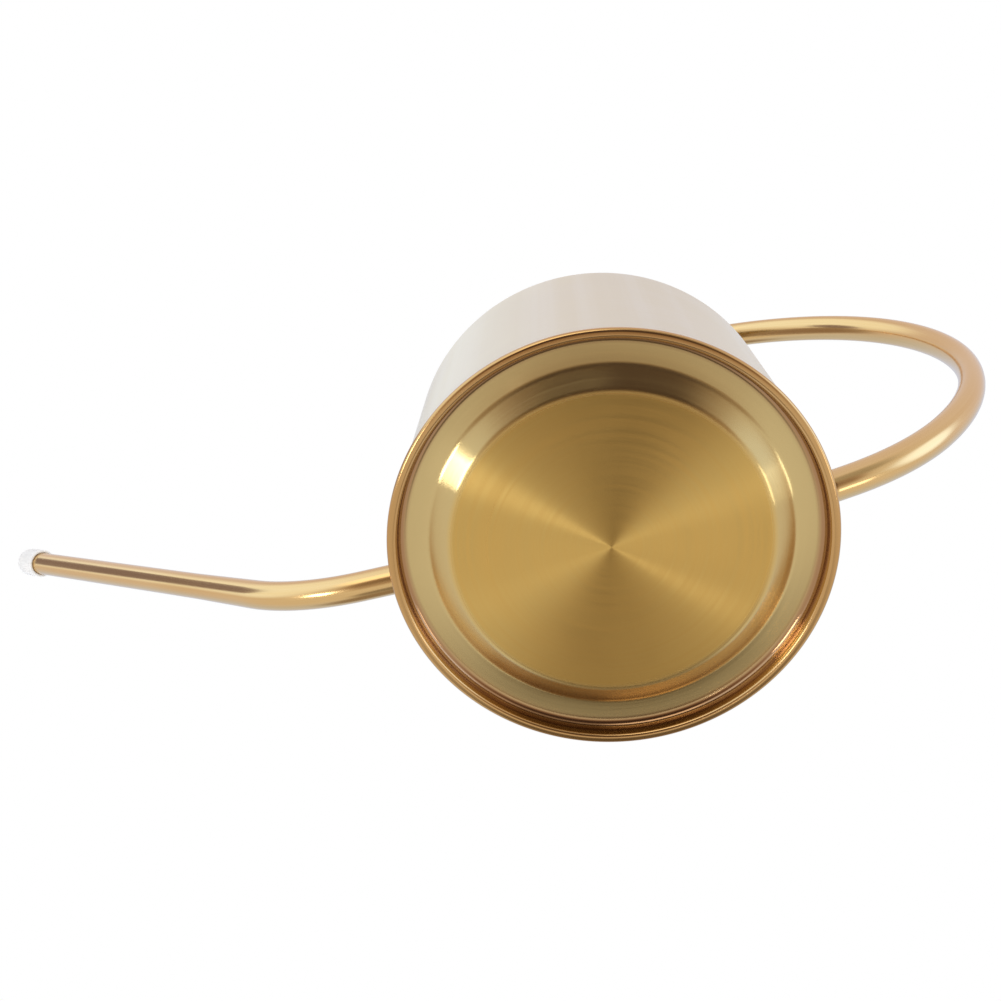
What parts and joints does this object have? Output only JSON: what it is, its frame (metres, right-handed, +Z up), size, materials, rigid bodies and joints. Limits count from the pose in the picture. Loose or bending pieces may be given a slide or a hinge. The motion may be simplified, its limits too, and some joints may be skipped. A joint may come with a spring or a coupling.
{
  "type": "watering can",
  "caption": "Small open-topped watering can with a long thin bent spout from its base, a hoop handle over the opening and a pull-off tip cap.",
  "frame": {"origin": "centre of the foot ring, on the surface that the can stands on", "axes": "+Z up, spout towards -X, handle's hoop towards +X"},
  "size_m": [0.3707, 0.13, 0.2048],
  "materials": {
    "wall_metal": "brushed steel with a pale gold coating",
    "base_metal": "spun brushed steel with a gold coating",
    "ring_metal": "polished steel with a gold coating",
    "tube_metal": "satin polished steel tube with a gold coating",
    "weld_metal": "dressed weld under the gold coating",
    "soft_cap": "milky translucent silicone"
  },
  "bodies": {
    "can": {"body_wall": "wall_metal", "base_disc": "base_metal", "foot_ring": "ring_metal", "spout_tube": "tube_metal", "spout_weld": "weld_metal", "handle_tube": "tube_metal", "handle_front_weld": "weld_metal", "handle_back_weld": "weld_metal", "handle_end_plug": "tube_metal"},
    "cap": {"tip_cap": "soft_cap"}
  },
  "joints": [
    {"name": "cap_slide", "type": "slide", "parent": "can", "child": "cap", "axis": [-0.8111, 0, 0.585], "range_m": [0, 0.012]}
  ]
}
